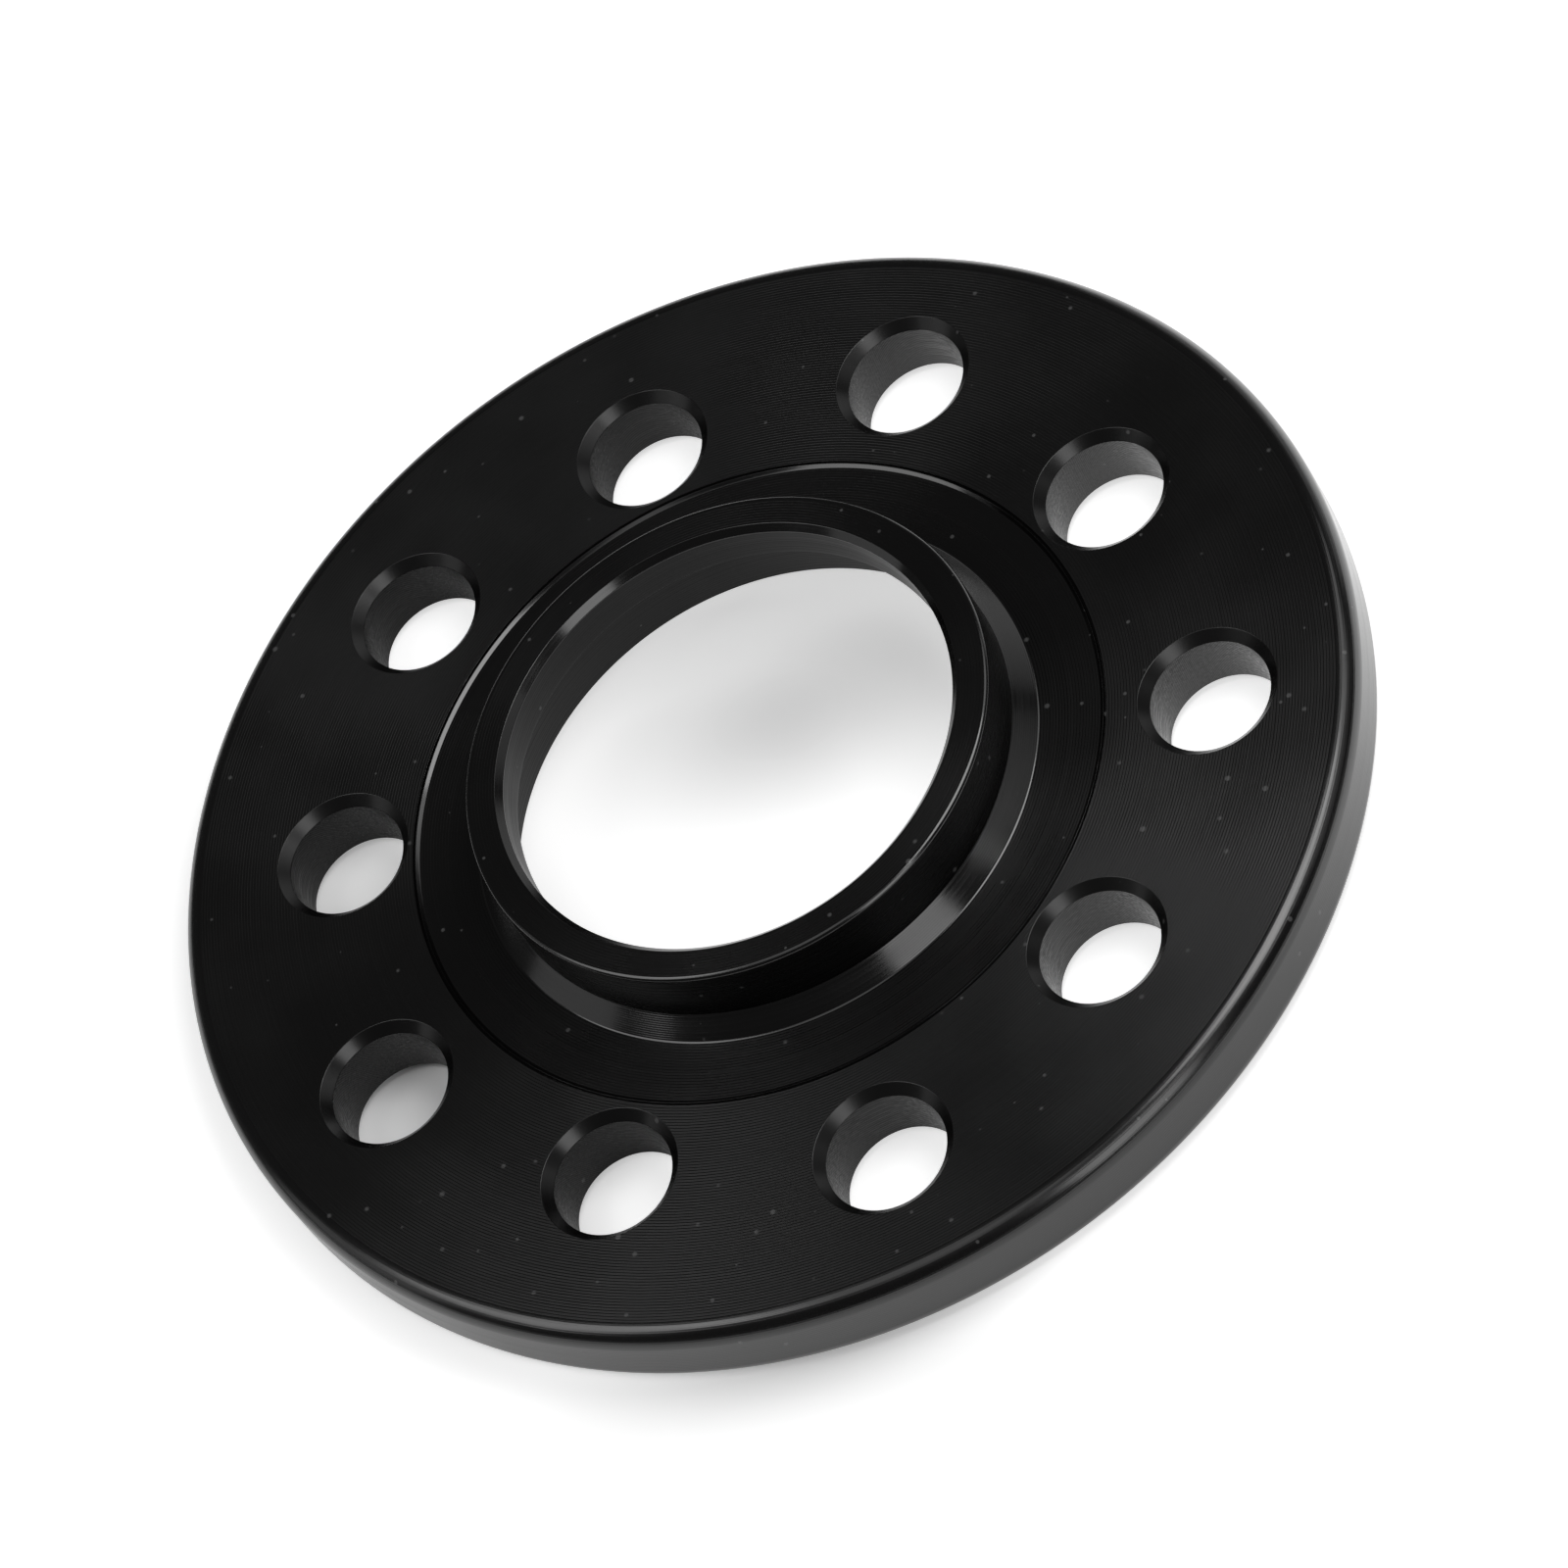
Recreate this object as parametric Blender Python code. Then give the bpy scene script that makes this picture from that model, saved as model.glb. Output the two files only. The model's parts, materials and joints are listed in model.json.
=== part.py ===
"""Hub-centric wheel spacer: one turned and drilled aluminium disc.

It lies on its hub face, with the wheel side and its centring lip up.
Units are metres, +Z is the disc's axis, and the origin is the centre of the hub face.
"""
import math

import bmesh
import bpy
from mathutils import Vector

# Plate
PLATE_THICKNESS = 0.010
RIM_WALL = 0.01085
RIM_EDGE_RADIUS = 0.0025

# Bolt holes: two five-hole circles, drilled turn and turn about
WIDE_BOLT_CIRCLE = 0.1143
NARROW_BOLT_CIRCLE = 0.108
HOLES_PER_CIRCLE = 5
BOLT_HOLE_DIAMETER = 0.015
BOLT_HOLE_CHAMFER = 0.0012

# Centre: the bore takes the car's hub nose, and the lip repeats that nose for the wheel
HUB_NOSE_DIAMETER = 0.067
HUB_BORE_CLEARANCE = 0.00005
HUB_BORE_LEAD_IN = 0.003
LIP_HEIGHT = 0.010
LIP_WALL = 0.00475
LIP_EDGE_RADIUS = 0.0005
LIP_BORE_CHAMFER = 0.0008

# Root of the lip: a cone outside and a taper inside carry the lip over the hub bore's end
ROOT_CONE_WIDTH = 0.0026
ROOT_CONE_ANGLE = math.radians(40)
ROOT_FOOT_RADIUS = 0.0005
ROOT_WALL = 0.0015
BORE_TAPER_ANGLE = math.radians(45)

# Shallow recess in the wheel face, round the root of the lip, with a fine relief groove round its edge
RECESS_WIDTH = 0.00815
RECESS_DEPTH = 0.0003
RELIEF_WIDTH = 0.0004
RELIEF_DEPTH = 0.00035

# Smoothness of the round faces
TURNED_SEGMENTS = 120
HOLE_SEGMENTS = 36
FILLET_STEP = 0.0009
SMOOTH_ANGLE = math.radians(30)

MERGE_DISTANCE = 0.0000001

# How far the hole cutters reach past the plate
CUT_MARGIN = 0.001

# Black anodise: a glossy dark oxide layer, which looks less metallic than bare aluminium
ANODISE_COLOUR = (0.012, 0.012, 0.013, 1.0)
ANODISE_METALLIC = 0.0
ANODISE_ROUGHNESS = 0.3


def clear_scene():
    for item in list(bpy.data.objects):
        bpy.data.objects.remove(item, do_unlink=True)


def rounded_corner(before, corner, after, radius):
    """Points of the arc that rounds one corner of a profile."""
    towards_before = (before - corner).normalized()
    towards_after = (after - corner).normalized()
    half_angle = towards_before.angle(towards_after) / 2
    reach = radius / math.tan(half_angle)
    bisector = (towards_before + towards_after).normalized()
    centre = corner + bisector * (radius / math.sin(half_angle))
    start = corner + towards_before * reach - centre
    turn = start.angle_signed(corner + towards_after * reach - centre)
    steps = max(2, math.ceil(radius * abs(turn) / FILLET_STEP))
    points = []
    for step in range(steps + 1):
        angle = -turn * step / steps
        cos, sin = math.cos(angle), math.sin(angle)
        points.append(centre + Vector((start.x * cos - start.y * sin, start.x * sin + start.y * cos)))
    return points


def rounded_profile(corners):
    """Closed outline from (radius, height, fillet) corners, with an arc at each fillet."""
    places = [Vector((radius, height)) for radius, height, _ in corners]
    outline = []
    for index, (_, _, fillet) in enumerate(corners):
        if fillet:
            before = places[index - 1]
            after = places[(index + 1) % len(places)]
            outline.extend(rounded_corner(before, places[index], after, fillet))
        else:
            outline.append(places[index])
    return outline


def spacer_profile():
    """Half section of the disc, from the hub face round the rim and over the lip."""
    outer = WIDE_BOLT_CIRCLE / 2 + BOLT_HOLE_DIAMETER / 2 + RIM_WALL
    lip = HUB_NOSE_DIAMETER / 2
    lip_bore = lip - LIP_WALL
    lip_top = PLATE_THICKNESS + LIP_HEIGHT
    hub_bore = lip + HUB_BORE_CLEARANCE
    floor = PLATE_THICKNESS - RECESS_DEPTH
    cone_foot = lip + ROOT_CONE_WIDTH
    cone_top = floor + ROOT_CONE_WIDTH * math.tan(ROOT_CONE_ANGLE)
    recess = cone_foot + RECESS_WIDTH

    # The hub bore ends where ROOT_WALL is left under the cone, measured square to the cone
    over_bore = (cone_foot - hub_bore) * math.sin(ROOT_CONE_ANGLE)
    hub_bore_end = floor + (over_bore - ROOT_WALL) / math.cos(ROOT_CONE_ANGLE)
    taper_end = hub_bore_end + (hub_bore - lip_bore) * math.tan(BORE_TAPER_ANGLE)

    corners = [
        (hub_bore + HUB_BORE_LEAD_IN, 0.0, 0.0),
        (outer, 0.0, RIM_EDGE_RADIUS),
        (outer, PLATE_THICKNESS, RIM_EDGE_RADIUS),
        (recess + RELIEF_WIDTH, PLATE_THICKNESS, 0.0),
        (recess + RELIEF_WIDTH / 2, PLATE_THICKNESS - RELIEF_DEPTH, 0.0),
        (recess, PLATE_THICKNESS, 0.0),
        (recess - RECESS_DEPTH, floor, 0.0),
        (cone_foot, floor, ROOT_FOOT_RADIUS),
        (lip, cone_top, 0.0),
        (lip, lip_top, LIP_EDGE_RADIUS),
        (lip_bore + LIP_BORE_CHAMFER, lip_top, 0.0),
        (lip_bore, lip_top - LIP_BORE_CHAMFER, 0.0),
        (lip_bore, taper_end, 0.0),
        (hub_bore, hub_bore_end, 0.0),
        (hub_bore, HUB_BORE_LEAD_IN, 0.0),
    ]
    return rounded_profile(corners)


def hole_profile():
    """Half section of a cutter for one bolt hole, chamfered at both faces."""
    hole = BOLT_HOLE_DIAMETER / 2
    mouth = hole + BOLT_HOLE_CHAMFER + CUT_MARGIN
    return [
        Vector((0.0, -CUT_MARGIN)),
        Vector((mouth, -CUT_MARGIN)),
        Vector((hole, BOLT_HOLE_CHAMFER)),
        Vector((hole, PLATE_THICKNESS - BOLT_HOLE_CHAMFER)),
        Vector((mouth, PLATE_THICKNESS + CUT_MARGIN)),
        Vector((0.0, PLATE_THICKNESS + CUT_MARGIN)),
    ]


def turned(name, profile, segments):
    """Object made by spinning a profile once round the Z axis.

    A profile that starts and ends on the axis stays open there, and any other is closed.
    """
    sheet = bmesh.new()
    points = [sheet.verts.new((place.x, 0.0, place.y)) for place in profile]
    pairs = list(zip(points, points[1:]))
    if profile[0].x > 0.0:
        pairs.append((points[-1], points[0]))
    edges = [sheet.edges.new(pair) for pair in pairs]
    bmesh.ops.spin(
        sheet,
        geom=points + edges,
        cent=(0.0, 0.0, 0.0),
        axis=(0.0, 0.0, 1.0),
        angle=math.tau,
        steps=segments,
        use_merge=True,
    )
    bmesh.ops.remove_doubles(sheet, verts=sheet.verts, dist=MERGE_DISTANCE)
    bmesh.ops.dissolve_degenerate(sheet, edges=sheet.edges, dist=MERGE_DISTANCE)
    bmesh.ops.recalc_face_normals(sheet, faces=sheet.faces)
    mesh = bpy.data.meshes.new(name)
    sheet.to_mesh(mesh)
    sheet.free()
    item = bpy.data.objects.new(name, mesh)
    bpy.context.scene.collection.objects.link(item)
    return item


def hole_cutters():
    """One cutter at each bolt hole, the two circles taking turns round the disc."""
    group = bpy.data.collections.new("bolt_hole_cutters")
    bpy.context.scene.collection.children.link(group)
    total = 2 * HOLES_PER_CIRCLE
    for index in range(total):
        circle = WIDE_BOLT_CIRCLE if index % 2 == 0 else NARROW_BOLT_CIRCLE
        angle = math.tau * index / total
        cutter = turned(f"bolt_hole_cutter_{index}", hole_profile(), HOLE_SEGMENTS)
        cutter.location = (circle / 2 * math.cos(angle), circle / 2 * math.sin(angle), 0.0)
        cutter.rotation_euler.z = angle
        cutter.hide_render = True
        cutter.display_type = "WIRE"
        bpy.context.scene.collection.objects.unlink(cutter)
        group.objects.link(cutter)
    return group


def drill(item, cutters):
    """Cut every hole of a collection out of an object, and remove the cutters."""
    cut = item.modifiers.new("bolt_holes", "BOOLEAN")
    cut.operation = "DIFFERENCE"
    cut.operand_type = "COLLECTION"
    cut.collection = cutters
    cut.solver = "EXACT"
    graph = bpy.context.evaluated_depsgraph_get()
    drilled = bpy.data.meshes.new_from_object(item.evaluated_get(graph))
    drilled.name = item.name
    item.modifiers.clear()
    item.data = drilled
    for cutter in list(cutters.objects):
        bpy.data.objects.remove(cutter, do_unlink=True)
    bpy.data.collections.remove(cutters)


def anodised_black():
    """Black anodised aluminium with a fine turned finish."""
    material = bpy.data.materials.new("black_anodise")
    material.use_nodes = True
    shader = material.node_tree.nodes["Principled BSDF"]
    shader.inputs["Base Color"].default_value = ANODISE_COLOUR
    shader.inputs["Metallic"].default_value = ANODISE_METALLIC
    shader.inputs["Roughness"].default_value = ANODISE_ROUGHNESS
    material.diffuse_color = ANODISE_COLOUR
    return material


def main():
    clear_scene()
    spacer = turned("wheel_spacer", spacer_profile(), TURNED_SEGMENTS)
    drill(spacer, hole_cutters())
    spacer.data.shade_smooth()
    spacer.data.set_sharp_from_angle(angle=SMOOTH_ANGLE)
    spacer.data.materials.append(anodised_black())


main()
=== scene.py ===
"""Looks of the hub-centric wheel spacer: a fine turned mesh in black anodise, on a white table."""

import json
import math

import bpy
from mathutils import Euler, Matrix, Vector


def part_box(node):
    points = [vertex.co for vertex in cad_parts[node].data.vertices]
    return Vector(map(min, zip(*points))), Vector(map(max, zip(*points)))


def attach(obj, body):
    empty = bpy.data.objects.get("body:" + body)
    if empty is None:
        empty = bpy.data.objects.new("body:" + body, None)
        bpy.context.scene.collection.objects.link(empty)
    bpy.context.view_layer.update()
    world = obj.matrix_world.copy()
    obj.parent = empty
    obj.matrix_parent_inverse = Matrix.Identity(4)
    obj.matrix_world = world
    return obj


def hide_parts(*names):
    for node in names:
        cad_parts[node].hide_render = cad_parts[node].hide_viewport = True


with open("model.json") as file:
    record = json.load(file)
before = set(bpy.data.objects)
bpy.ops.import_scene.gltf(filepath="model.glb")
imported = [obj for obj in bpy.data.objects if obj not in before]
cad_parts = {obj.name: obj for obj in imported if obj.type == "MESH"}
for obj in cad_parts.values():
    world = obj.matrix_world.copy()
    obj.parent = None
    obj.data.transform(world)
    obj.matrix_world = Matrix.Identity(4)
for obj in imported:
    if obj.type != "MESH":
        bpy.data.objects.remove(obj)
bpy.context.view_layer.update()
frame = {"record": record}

# Sizes that the frame gives
NODE = "wheel_spacer"
LOW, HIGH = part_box(NODE)
OUTER = (HIGH.x - LOW.x) / 2
LIP_TOP = HIGH.z
MOUNTS = {mount["name"]: mount for mount in frame["record"]["mounts"]}
PLATE = MOUNTS["wheel_face"]["pos_m"][2]

# Sizes of the turned section, in metres
RIM_RADIUS = 0.0025
LIP = 0.0335
LIP_BORE = 0.02875
HUB_BORE = 0.03355
HUB_BORE_END = 0.00988
HUB_LEAD_IN = 0.003
TAPER_END = HUB_BORE_END + HUB_BORE - LIP_BORE
LIP_BORE_CHAMFER = 0.0008
LIP_EDGE_RADIUS = 0.00065
CONE_FOOT = 0.0361
CONE_ANGLE = math.radians(40)
CONE_FOOT_RADIUS = 0.0005
RECESS = 0.04425
RECESS_DEPTH = 0.0003
RECESS_SLOPE_WIDTH = 0.00044
RELIEF_WIDTH = 0.0004
RELIEF_DEPTH = 0.00035

# The bore's finish starts this far below the bore's chamfer
BORE_FINISH_DROP = 0.0002
BORE_SPLIT = LIP_TOP - LIP_BORE_CHAMFER - BORE_FINISH_DROP

# Bolt holes, in metres
BOLT_CIRCLES = (0.1143, 0.108)
HOLES = 10
HOLE_RADIUS = 0.0075
HOLE_CHAMFER = 0.0012

# Broken edges and the fineness of the mesh
EDGE_BREAK = 0.00012
RELIEF_EDGE_BREAK = 0.00003
RECESS_CREST_RADIUS = 0.00003
SEGMENTS_PER_HOLE = 32
SEGMENTS = HOLES * SEGMENTS_PER_HOLE
SIDE_SEGMENTS = 24
ARC_STEP = math.radians(6)
MIN_ARC_STEPS = 3

# A spun band is faced if its normals stand this upright, and a wall if they lie this flat
LEVEL = 0.999
FLAT = 0.001

# Camera, fitted to the photograph's circles
CAMERA_LENS = 191.79
CAMERA_SENSOR = 36.0
CAMERA_AIM = Vector((0.00383, -0.00183, 0.010))
CAMERA_DISTANCE = 0.99531
CAMERA_AZIMUTH = math.radians(31.494)
CAMERA_ELEVATION = math.radians(51.192)
CAMERA_ROLL = math.radians(36.257)
CAMERA_REACH = 20.0

# Bearings of lamps and of places on the table count from the camera's side of the part
NEAR_SIDE = CAMERA_AZIMUTH - math.pi / 2
LEVEL_TILT = 90.0

# Finish: the oxide's colour and gloss, the tool's feed marks, and dust
ANODISE_COLOUR = (0.0011, 0.0010, 0.0010, 1.0)
OXIDE_IOR = 1.65
QUARTER_TURN = 0.25
FEED_PITCH = 0.00038
FEED_LEAN = 0.45
FEED_UNEVEN = 0.8
FEED_NOISE_SCALE = 2500.0
FEED_NOISE_DETAIL = 3.0
BROAD_SCALE = 60.0
BROAD_DETAIL = 2.0
BROAD_SPREAD = 0.12
NOISE_RANGE = (0.3, 0.7)
DUST_SCALE = 400.0
DUST_SIZE = 0.19
DUST_CORE = 0.5
DUST_SHARE = 0.5
DUST_COLOUR = (0.055, 0.055, 0.055, 1.0)

# Each cut's finish: roughness, its spread from ring to ring, anisotropy, the feed marks' depth in metres,
# and specular level
FINISHES = {
    "anodised_face": (0.35, 0.06, 0.6, 0.000011, 0.38),
    "anodised_fine_face": (0.27, 0.06, 0.6, 0.000008, 0.36),
    "anodised_turned": (0.15, 0.25, 0.4, 0.000002, 0.5),
    "anodised_countersunk": (0.27, 0.0, 0.0, 0.0, 0.38),
    "anodised_bored": (0.4, 0.2, 0.0, 0.000002, 0.15),
    "anodised_drilled": (0.34, 0.3, 0.0, 0.000006, 0.28),
    "anodised_lip_wall": (0.28, 0.2, 0.4, 0.000002, 0.28),
    "anodised_rim": (0.21, 0.15, 0.4, 0.000002, 0.5),
}
FACE, FINE_FACE, TURNED, COUNTERSUNK, BORED, DRILLED, LIP_WALL, RIM = range(len(FINISHES))

# Table and room: the table lies just under the part, so that their faces don't share a plane
WHITE = (1.0, 1.0, 1.0, 1.0)
TABLE_SIZE = 8.0
TABLE_GAP = 0.0001
TABLE_COLOUR = (0.9, 0.9, 0.9, 1.0)

# Glow of the table as the camera sees it: near the part, and what is added further out as distances
# where the addition starts and ends, and its amounts there. Then the spots of painted shadow, where the
# glow
# near the part is taken away: bearing and distance of each, its half width round the part and away from
# it, and the glow left there
TABLE_GLOW = 0.6
FAR_GLOW = (0.08, 0.2, 0.0, 0.4)
PAINTED_SHADOW_SPOTS = [
    (152.0, 0.015, 0.036, 0.025, 0.0),
    (-95.0, 0.053, 0.07, 0.03, 0.0),
    (-27.0, 0.077, 0.055, 0.014, 0.35),
]

# Glow of the table as the part mirrors it, a painted reflection: painted light that grows towards a
# bearing next to the part, painted shade under its plate that lifts towards another bearing, and the
# distances from the axis over which one look gives way to the next
PAINTED_LIGHT_NEXT_TO_PART_BEARING = 95.0
PAINTED_LIGHT_NEXT_TO_PART = (0.03, 0.08, 0.3, 1.0)
PAINTED_SHADE_UNDER_PLATE_BEARING = 70.0
PAINTED_SHADE_UNDER_PLATE = (-0.03, 0.06, 0.0, 0.8)
BORE_EDGE = (0.03, 0.036)
PLATE_EDGE = (0.07, 0.077)

ROOM_BRIGHTNESS = 0.07

# Softboxes: name, bearing from the camera's side, tilt, distance, angular width and height, brightness
SOFTBOXES = [
    ("right_softbox", 72.0, 30.0, 0.38, 30.0, 30.0, 4.5),
    ("right_side_card", 106.0, 44.0, 0.6, 22.0, 18.0, 1.3),
    ("left_softbox", -98.0, 38.0, 0.6, 27.0, 36.0, 2.2),
    ("left_low_card", -108.0, 70.0, 0.6, 26.0, 26.0, 0.45),
    ("front_softbox", 15.0, 56.0, 0.9, 22.0, 38.0, 2.4),
    ("top_softbox", -65.0, 14.0, 0.9, 44.0, 24.0, 0.8),
    ("right_low_card", 80.0, 56.0, 0.6, 32.0, 20.0, 0.35),
    ("far_right_card", 124.0, 80.0, 0.7, 44.0, 18.0, 0.5),
]


def turned_back(normal, angle):
    """A profile direction turned by an angle in the half-section's plane."""
    cos, sin = math.cos(angle), math.sin(angle)
    return Vector((normal.x * cos - normal.y * sin, normal.x * sin + normal.y * cos))


def rounded_chain(corners):
    """Points and outward normals of an open outline whose inner corners are all rounded.

    Corners are (radius, height, rounding), with the metal on the left of the direction of travel.
    A caller drops an end that only gives the direction.
    """
    places = [Vector((radius, height)) for radius, height, _ in corners]
    first = (places[1] - places[0]).normalized()
    chain = [(places[0], Vector((first.y, -first.x)))]
    for index in range(1, len(places) - 1):
        place = places[index]
        rounding = corners[index][2]
        before = (place - places[index - 1]).normalized()
        after = (places[index + 1] - place).normalized()
        turn = math.atan2(before.x * after.y - before.y * after.x, before.dot(after))
        side = math.copysign(1.0, turn)
        reach = rounding * math.tan(abs(turn) / 2)
        start = place - before * reach
        normal = Vector((before.y, -before.x))
        centre = start - side * rounding * normal
        steps = max(MIN_ARC_STEPS, math.ceil(abs(turn) / ARC_STEP))
        for step in range(steps + 1):
            here = turned_back(normal, turn * step / steps)
            chain.append((centre + side * rounding * here, here))
    last = (places[-1] - places[-2]).normalized()
    chain.append((places[-1], Vector((last.y, -last.x))))
    return chain


def rim_chain():
    """From the hub face round the rim to the wheel face."""
    corners = [
        (OUTER - RIM_RADIUS, 0.0, 0.0),
        (OUTER, 0.0, RIM_RADIUS),
        (OUTER, PLATE, RIM_RADIUS),
        (OUTER - RIM_RADIUS, PLATE, 0.0),
    ]
    return rounded_chain(corners)[1:-1]


def centre_chain():
    """From the wheel face over the relief groove, the recess and the lip, to just inside its bore."""
    floor = PLATE - RECESS_DEPTH
    cone_top = floor + (CONE_FOOT - LIP) * math.tan(CONE_ANGLE)
    relief = RECESS + RELIEF_WIDTH
    corners = [
        (relief + EDGE_BREAK, PLATE, 0.0),
        (relief, PLATE, RELIEF_EDGE_BREAK),
        (relief - RELIEF_WIDTH / 2, PLATE - RELIEF_DEPTH, RELIEF_EDGE_BREAK),
        (RECESS, PLATE, RECESS_CREST_RADIUS),
        (RECESS - RECESS_SLOPE_WIDTH, floor, EDGE_BREAK),
        (CONE_FOOT, floor, CONE_FOOT_RADIUS),
        (LIP, cone_top, EDGE_BREAK),
        (LIP, LIP_TOP, LIP_EDGE_RADIUS),
        (LIP_BORE + LIP_BORE_CHAMFER, LIP_TOP, EDGE_BREAK),
        (LIP_BORE, LIP_TOP - LIP_BORE_CHAMFER, EDGE_BREAK),
        (LIP_BORE, BORE_SPLIT, 0.0),
    ]
    return rounded_chain(corners)[1:]


def bore_chain():
    """From inside the lip down the taper and the hub bore to the hub face."""
    corners = [
        (LIP_BORE, BORE_SPLIT, 0.0),
        (LIP_BORE, TAPER_END, EDGE_BREAK),
        (HUB_BORE, HUB_BORE_END, EDGE_BREAK),
        (HUB_BORE, HUB_LEAD_IN, EDGE_BREAK),
        (HUB_BORE + HUB_LEAD_IN, 0.0, EDGE_BREAK),
        (HUB_BORE + HUB_LEAD_IN + EDGE_BREAK, 0.0, 0.0),
    ]
    return rounded_chain(corners)[1:-1]


def hole_chain():
    """From the wheel face down a bolt hole's chamfer to its wall, with the metal outside."""
    mouth = HOLE_RADIUS + HOLE_CHAMFER
    corners = [
        (mouth + EDGE_BREAK, PLATE, 0.0),
        (mouth, PLATE, EDGE_BREAK),
        (HOLE_RADIUS, PLATE - HOLE_CHAMFER, EDGE_BREAK),
        (HOLE_RADIUS, PLATE / 2, 0.0),
    ]
    return rounded_chain(corners)[1:-1]


def mirrored(chain):
    """The same chain at the hub face, travelled the other way."""
    return [
        (Vector((place.x, PLATE - place.y)), Vector((normal.x, -normal.y)))
        for place, normal in reversed(chain)
    ]


class Shell:
    """A mesh under construction, with a normal for each vertex."""

    def __init__(self):
        self.places = []
        self.normals = []
        self.faces = []
        self.slots = []

    def ring(self, centre, angles, radius, height, normal):
        """Add a ring of vertices round an upright axis, and return their numbers."""
        first = len(self.places)
        for angle in angles:
            cos, sin = math.cos(angle), math.sin(angle)
            self.places.append((centre.x + radius * cos, centre.y + radius * sin, height))
            self.normals.append((normal.x * cos, normal.x * sin, normal.y))
        return list(range(first, len(self.places)))

    def band(self, lower, upper, slot):
        """Join two rings of equal count with quads that face out."""
        for index, corner in enumerate(lower):
            after = (index + 1) % len(lower)
            self.faces.append((corner, lower[after], upper[after], upper[index]))
            self.slots.append(slot)

    def turned(self, centre, angles, chain, slot, start=None, wall=None):
        """Spin a chain round an upright axis, from a ring that is there if given; return its end rings.

        Level bands get the finish of a fine face, and upright walls their own finish if one is given.
        """
        rings = [start] if start else []
        rings += [self.ring(centre, angles, place.x, place.y, normal) for place, normal in chain]
        for before, after in zip(rings, rings[1:]):
            rises = [abs(self.normals[end[0]][2]) for end in (before, after)]
            finish = slot
            if min(rises) > LEVEL:
                finish = FINE_FACE
            elif wall is not None and max(rises) < FLAT:
                finish = wall
            self.band(before, after, finish)
        return rings[0], rings[-1]


def sector_start(hole):
    """Number of the segment where a hole's sector starts, midway from the hole before it."""
    return (hole * SEGMENTS_PER_HOLE - SEGMENTS_PER_HOLE // 2) % SEGMENTS


def sector_outline(inner, outer, hole, side_rows):
    """Numbers of the vertices round one hole's sector of a face, counter-clockwise from above."""
    across = [(sector_start(hole) + step) % SEGMENTS for step in range(SEGMENTS_PER_HOLE + 1)]
    outline = [outer[index] for index in across]
    outline += side_rows[(hole + 1) % HOLES][::-1]
    outline += [inner[index] for index in reversed(across)]
    outline += side_rows[hole]
    return outline


def side_points(shell, inner, outer, up):
    """Rows of vertices along the rays between the holes, from the inner to the outer ring."""
    rows = []
    for hole in range(HOLES):
        near = Vector(shell.places[inner[sector_start(hole)]])
        far = Vector(shell.places[outer[sector_start(hole)]])
        row = []
        for step in range(1, SIDE_SEGMENTS):
            row.append(len(shell.places))
            shell.places.append(near.lerp(far, step / SIDE_SEGMENTS)[:])
            shell.normals.append((0.0, 0.0, up))
        rows.append(row)
    return rows


def hole_centre(hole):
    """Centre of one bolt hole: the two circles take turns round the disc."""
    angle = math.tau * hole / HOLES
    reach = BOLT_CIRCLES[hole % 2] / 2
    return Vector((reach * math.cos(angle), reach * math.sin(angle), 0.0))


def fine_spacer():
    """The whole disc as one closed mesh of quads, smooth wherever the real one is turned."""
    shell = Shell()
    angles = [math.tau * index / SEGMENTS for index in range(SEGMENTS)]
    axis = Vector((0.0, 0.0, 0.0))
    rim_low, rim_high = shell.turned(axis, angles, rim_chain(), RIM)
    centre_high, inside = shell.turned(axis, angles, centre_chain(), TURNED, wall=LIP_WALL)
    _, centre_low = shell.turned(axis, angles, bore_chain(), BORED, inside)
    top_rows = side_points(shell, centre_high, rim_high, 1.0)
    low_rows = side_points(shell, centre_low, rim_low, -1.0)
    for hole in range(HOLES):
        centre = hole_centre(hole)
        top = sector_outline(centre_high, rim_high, hole, top_rows)
        low = sector_outline(centre_low, rim_low, hole, low_rows)
        bearings = []
        for corner in top:
            place = Vector(shell.places[corner]) - centre
            bearings.append(math.atan2(place.y, place.x))
        mouth, shoulder = shell.turned(centre, bearings, hole_chain(), COUNTERSUNK)
        lower = mirrored(hole_chain())
        ledge = shell.turned(centre, bearings, lower[:1], DRILLED, shoulder)[1]
        _, foot = shell.turned(centre, bearings, lower[1:], COUNTERSUNK, ledge)
        shell.band(top, mouth, FACE)
        shell.band(foot, low, FACE)
    return shell


def mesh_object(name, shell, materials):
    """Object with a shell's faces, finishes and exact normals."""
    mesh = bpy.data.meshes.new(name)
    mesh.from_pydata(shell.places, [], shell.faces)
    for material in materials:
        mesh.materials.append(material)
    mesh.polygons.foreach_set("material_index", shell.slots)
    mesh.shade_smooth()
    mesh.normals_split_custom_set_from_vertices(shell.normals)
    mesh.validate()
    mesh.update()
    item = bpy.data.objects.new(name, mesh)
    bpy.context.scene.collection.objects.link(item)
    return item


def direction(bearing, tilt):
    """Unit vector at a bearing from the camera's side of the part, tilted from straight up."""
    turn = NEAR_SIDE + math.radians(bearing)
    lean = math.radians(tilt)
    return Vector((math.sin(lean) * math.cos(turn), math.sin(lean) * math.sin(turn), math.cos(lean)))


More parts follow.
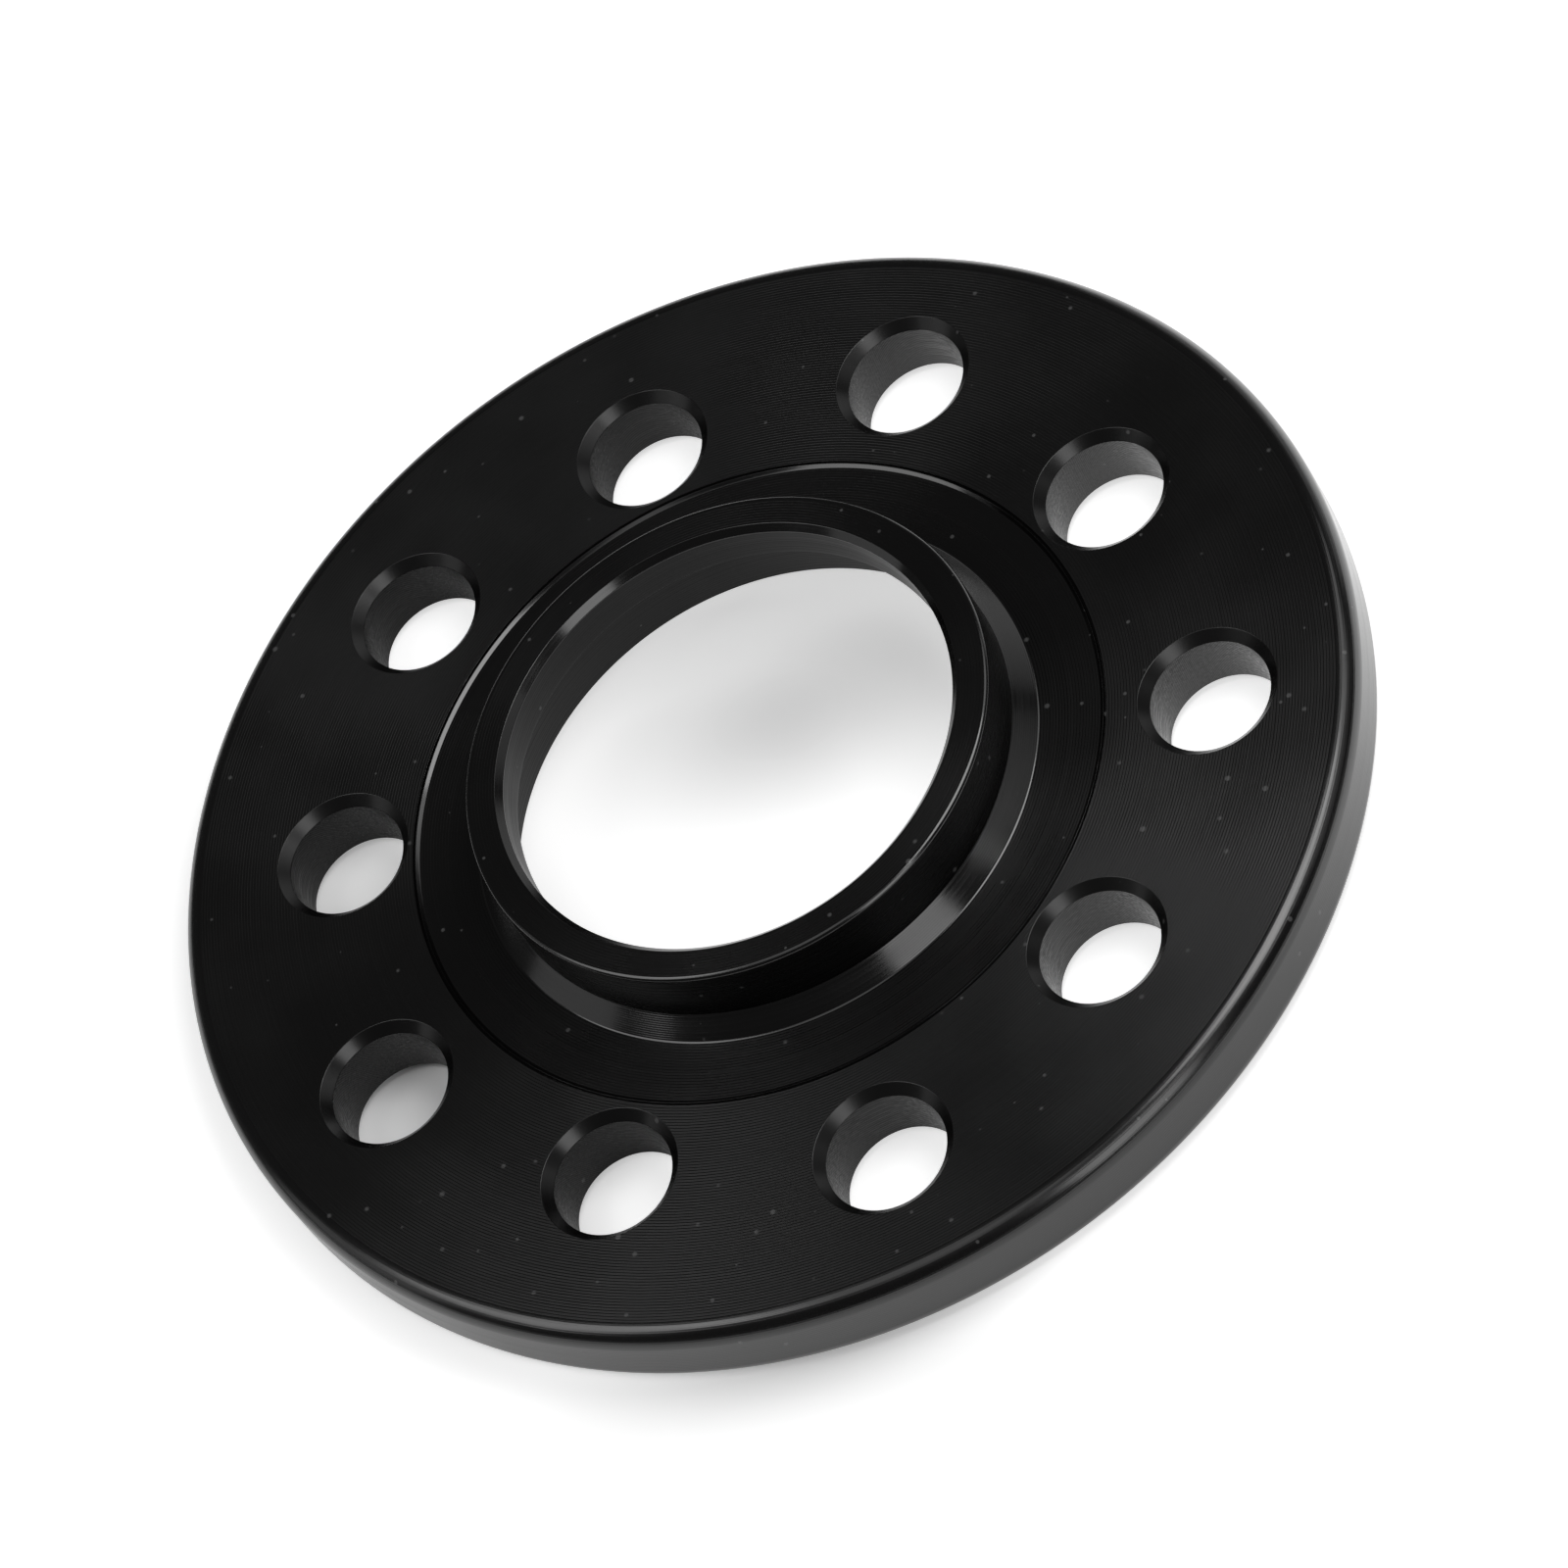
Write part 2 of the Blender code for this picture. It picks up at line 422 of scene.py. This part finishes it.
class Nodes:
    """Short calls for building a material's node tree."""

    def __init__(self, name):
        self.material = bpy.data.materials.new(name)
        self.material.use_nodes = True
        self.tree = self.material.node_tree
        self.tree.nodes.clear()

    def add(self, kind, settings=None, **inputs):
        """Add a node, set its properties, and fill its inputs with values or links."""
        node = self.tree.nodes.new(kind)
        for key, value in (settings or {}).items():
            setattr(node, key, value)
        for key, value in inputs.items():
            socket = node.inputs[int(key[1:])] if key[1:].isdigit() else node.inputs[key.replace("_", " ")]
            self.fill(socket, value)
        return node

    def fill(self, socket, value):
        if isinstance(value, bpy.types.NodeSocket):
            self.tree.links.new(value, socket)
        else:
            socket.default_value = value

    def math(self, operation, first, second=0.0, third=0.0):
        settings = {"operation": operation}
        return self.add("ShaderNodeMath", settings, _0=first, _1=second, _2=third).outputs[0]

    def length(self, vector):
        return self.add("ShaderNodeVectorMath", {"operation": "LENGTH"}, _0=vector).outputs[1]

    def ramp(self, value, low, high, start=0.0, end=1.0):
        """Smoothly carry a value from one range to another, clamped at both ends."""
        settings = {"interpolation_type": "SMOOTHSTEP"}
        node = self.add("ShaderNodeMapRange", settings, _0=value, _1=low, _2=high, _3=start, _4=end)
        return node.outputs[0]

    def along(self, point, bearing):
        """How far a point of the table lies towards a bearing."""
        way = direction(bearing, LEVEL_TILT)
        return self.add("ShaderNodeVectorMath", {"operation": "DOT_PRODUCT"}, _0=point, _1=way).outputs[1]

    def blend(self, factor, first, second):
        """Mix two numbers."""
        return self.add("ShaderNodeMix", {"data_type": "FLOAT"}, _0=factor, _2=first, _3=second).outputs[0]

    def mix(self, factor, first, second):
        """Mix two colours."""
        return self.add("ShaderNodeMix", {"data_type": "RGBA"}, _0=factor, _6=first, _7=second).outputs[2]

    def output(self, shader):
        """Finish the tree with a shader, and return the material."""
        self.add("ShaderNodeOutputMaterial", None, Surface=shader)
        return self.material


def lathe_coordinates(nodes):
    """Position on the part in metres: the point itself, its distance from the axis, and its height."""
    point = nodes.add("ShaderNodeTexCoord").outputs["Object"]
    flat = nodes.add("ShaderNodeVectorMath", {"operation": "MULTIPLY"}, _0=point, _1=(1.0, 1.0, 0.0))
    height = nodes.add("ShaderNodeSeparateXYZ", None, _0=point).outputs[2]
    return point, nodes.length(flat.outputs[0]), height


def streaks(nodes, radius, height):
    """Uneven rings round the axis, which change from pass to pass of the tool."""
    spots = nodes.add("ShaderNodeCombineXYZ", None, _0=radius, _1=height).outputs[0]
    settings = {"Scale": FEED_NOISE_SCALE, "Detail": FEED_NOISE_DETAIL}
    return nodes.add("ShaderNodeTexNoise", None, Vector=spots, **settings).outputs[0]


def feed_marks(nodes, radius, height, uneven):
    """Fine leaning grooves that the turning tool leaves, a little uneven."""
    turns = nodes.math("MULTIPLY", nodes.math("SUBTRACT", radius, height), math.tau / FEED_PITCH)
    wave = nodes.math("SINE", turns)
    lean = nodes.math("SINE", nodes.math("MULTIPLY", turns, 2.0))
    groove = nodes.math("MULTIPLY_ADD", lean, FEED_LEAN, wave)
    return nodes.math("MULTIPLY_ADD", uneven, FEED_UNEVEN, groove)


def dust(nodes, point):
    """Sparse pale specks of dust: 1 on a speck, 0 elsewhere."""
    cells = nodes.add("ShaderNodeTexVoronoi", None, Vector=point, Scale=DUST_SCALE)
    draw = nodes.add("ShaderNodeSeparateColor", None, _0=cells.outputs["Color"])
    size = nodes.math("MULTIPLY", draw.outputs[1], DUST_SIZE)
    near = nodes.ramp(cells.outputs["Distance"], size, nodes.math("MULTIPLY", size, DUST_CORE))
    chosen = nodes.math("GREATER_THAN", draw.outputs[0], 1.0 - DUST_SHARE)
    return nodes.math("MULTIPLY", near, chosen)


def anodised(name):
    """Black anodised aluminium: a dark body under a clear hard surface with fine tool marks."""
    roughness, spread, anisotropy, mark_depth, specular = FINISHES[name]
    nodes = Nodes(name)
    point, radius, height = lathe_coordinates(nodes)
    broad = nodes.add("ShaderNodeTexNoise", None, Vector=point, Scale=BROAD_SCALE, Detail=BROAD_DETAIL)
    low, high = roughness * (1 - BROAD_SPREAD), roughness * (1 + BROAD_SPREAD)
    rough = nodes.ramp(broad.outputs[0], *NOISE_RANGE, low, high)
    rings = streaks(nodes, radius, height)
    rough = nodes.math("MULTIPLY", rough, nodes.ramp(rings, *NOISE_RANGE, 1 - spread, 1 + spread))
    colour = nodes.mix(dust(nodes, point), ANODISE_COLOUR, DUST_COLOUR)
    shader = nodes.add("ShaderNodeBsdfPrincipled", None, Base_Color=colour, Roughness=rough)
    shader.inputs["IOR"].default_value = OXIDE_IOR
    shader.inputs["Specular IOR Level"].default_value = specular
    if anisotropy:
        shader.inputs["Anisotropic"].default_value = anisotropy
        shader.inputs["Anisotropic Rotation"].default_value = QUARTER_TURN
        tangent = nodes.add("ShaderNodeTangent", {"direction_type": "RADIAL", "axis": "Z"})
        nodes.fill(shader.inputs["Tangent"], tangent.outputs[0])
    if mark_depth:
        marks = feed_marks(nodes, radius, height, rings)
        bump = nodes.add("ShaderNodeBump", None, Distance=mark_depth, Height=marks)
        nodes.fill(shader.inputs["Normal"], bump.outputs[0])
    return nodes.output(shader.outputs[0])


def outside_painted_shadow(nodes, point, bearing, distance, half_round, half_out, left):
    """One outside an oval spot of painted shadow on the table, falling smoothly inside it to what is left
    at its middle.
    """
    middle = direction(bearing, LEVEL_TILT) * distance
    turn = (0.0, 0.0, NEAR_SIDE + math.radians(bearing) + math.pi / 2)
    size = (half_round, half_out, 1.0)
    settings = {"vector_type": "TEXTURE"}
    inside = nodes.add("ShaderNodeMapping", settings, _0=point, _1=middle, _2=turn, _3=size)
    return nodes.ramp(nodes.length(inside.outputs[0]), 0.0, 1.0, left, 1.0)


def table_top():
    """The white table, with one glow as the camera sees it, dimmed in spots of painted shadow, and one as
    the part mirrors it, made of painted light and painted shade.
    """
    bpy.ops.mesh.primitive_plane_add(size=TABLE_SIZE, location=(0.0, 0.0, -TABLE_GAP))
    table = bpy.context.object
    table.name = "table"
    nodes = Nodes("white_table")
    point = nodes.add("ShaderNodeTexCoord").outputs["Object"]
    away = nodes.length(point)
    # Painted shadow: the camera's glow near the part is taken away in oval spots, so the table looks
    # shaded there
    near = TABLE_GLOW
    for spot in PAINTED_SHADOW_SPOTS:
        near = nodes.math("MULTIPLY", near, outside_painted_shadow(nodes, point, *spot))
    seen = nodes.math("ADD", near, nodes.ramp(away, *FAR_GLOW))
    # Painted reflection: the glow the part mirrors is painted shade under its plate and painted light next
    # to it
    painted_shade_below_plate = nodes.ramp(nodes.along(point, PAINTED_SHADE_UNDER_PLATE_BEARING), *PAINTED_SHADE_UNDER_PLATE)
    painted_reflection = nodes.blend(nodes.ramp(away, *BORE_EDGE), near, painted_shade_below_plate)
    painted_light_next_to_part = nodes.ramp(nodes.along(point, PAINTED_LIGHT_NEXT_TO_PART_BEARING), *PAINTED_LIGHT_NEXT_TO_PART)
    painted_reflection = nodes.blend(nodes.ramp(away, *PLATE_EDGE), painted_reflection, painted_light_next_to_part)
    path = nodes.add("ShaderNodeLightPath")
    glow = nodes.math("MULTIPLY", path.outputs["Is Camera Ray"], seen)
    glow = nodes.math("MULTIPLY_ADD", path.outputs["Is Glossy Ray"], painted_reflection, glow)
    lit = nodes.add("ShaderNodeBsdfDiffuse", None, Color=TABLE_COLOUR).outputs[0]
    lift = nodes.add("ShaderNodeEmission", None, Strength=glow).outputs[0]
    surface = nodes.add("ShaderNodeAddShader", None, _0=lit, _1=lift).outputs[0]
    table.data.materials.append(nodes.output(surface))


def softbox(name, bearing, tilt, distance, width, height, brightness):
    """A rectangular lamp aimed at the part, of an angular width and height and a plain brightness.

    Its power is its brightness times pi times its area.
    """
    data = bpy.data.lights.new(name, "AREA")
    data.shape = "RECTANGLE"
    data.size = 2 * distance * math.tan(math.radians(width) / 2)
    data.size_y = 2 * distance * math.tan(math.radians(height) / 2)
    data.energy = brightness * math.pi * data.size * data.size_y
    item = bpy.data.objects.new(name, data)
    bpy.context.scene.collection.objects.link(item)
    away = direction(bearing, tilt)
    item.location = Vector((0.0, 0.0, PLATE)) + away * distance
    item.rotation_euler = away.to_track_quat("Z", "Y").to_euler()
    item.visible_camera = False


def studio_world():
    """Dim grey surroundings that light the part, and plain white where the camera sees past the table."""
    world = bpy.data.worlds.new("studio")
    bpy.context.scene.world = world
    world.use_nodes = True
    tree = world.node_tree
    tree.nodes.clear()
    dim = tree.nodes.new("ShaderNodeBackground")
    dim.inputs["Color"].default_value = WHITE
    dim.inputs["Strength"].default_value = ROOM_BRIGHTNESS
    white = tree.nodes.new("ShaderNodeBackground")
    white.inputs["Color"].default_value = WHITE
    path = tree.nodes.new("ShaderNodeLightPath")
    mix = tree.nodes.new("ShaderNodeMixShader")
    output = tree.nodes.new("ShaderNodeOutputWorld")
    tree.links.new(path.outputs["Is Camera Ray"], mix.inputs[0])
    tree.links.new(dim.outputs[0], mix.inputs[1])
    tree.links.new(white.outputs[0], mix.inputs[2])
    tree.links.new(mix.outputs[0], output.inputs[0])


def camera():
    """The photograph's camera: aimed at the part, and rolled about its line of sight."""
    data = bpy.data.cameras.new("camera")
    data.lens = CAMERA_LENS
    data.sensor_width = CAMERA_SENSOR
    data.clip_end = CAMERA_REACH
    item = bpy.data.objects.new("camera", data)
    bpy.context.scene.collection.objects.link(item)
    away = Vector((
        math.sin(CAMERA_AZIMUTH) * math.cos(CAMERA_ELEVATION),
        -math.cos(CAMERA_AZIMUTH) * math.cos(CAMERA_ELEVATION),
        math.sin(CAMERA_ELEVATION),
    ))
    item.location = CAMERA_AIM + away * CAMERA_DISTANCE
    level = Euler((math.pi / 2 - CAMERA_ELEVATION, 0.0, CAMERA_AZIMUTH)).to_matrix()
    roll = Euler((0.0, 0.0, -CAMERA_ROLL)).to_matrix()
    item.rotation_euler = (level @ roll).to_euler()
    bpy.context.scene.camera = item


def main():
    scene = bpy.context.scene
    scene.view_settings.view_transform = "Standard"
    finishes = [anodised(name) for name in FINISHES]
    spacer = mesh_object("fine_wheel_spacer", fine_spacer(), finishes)
    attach(spacer, "root")
    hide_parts(NODE)
    table_top()
    studio_world()
    for name, *settings in SOFTBOXES:
        softbox(name, *settings)
    camera()


main()
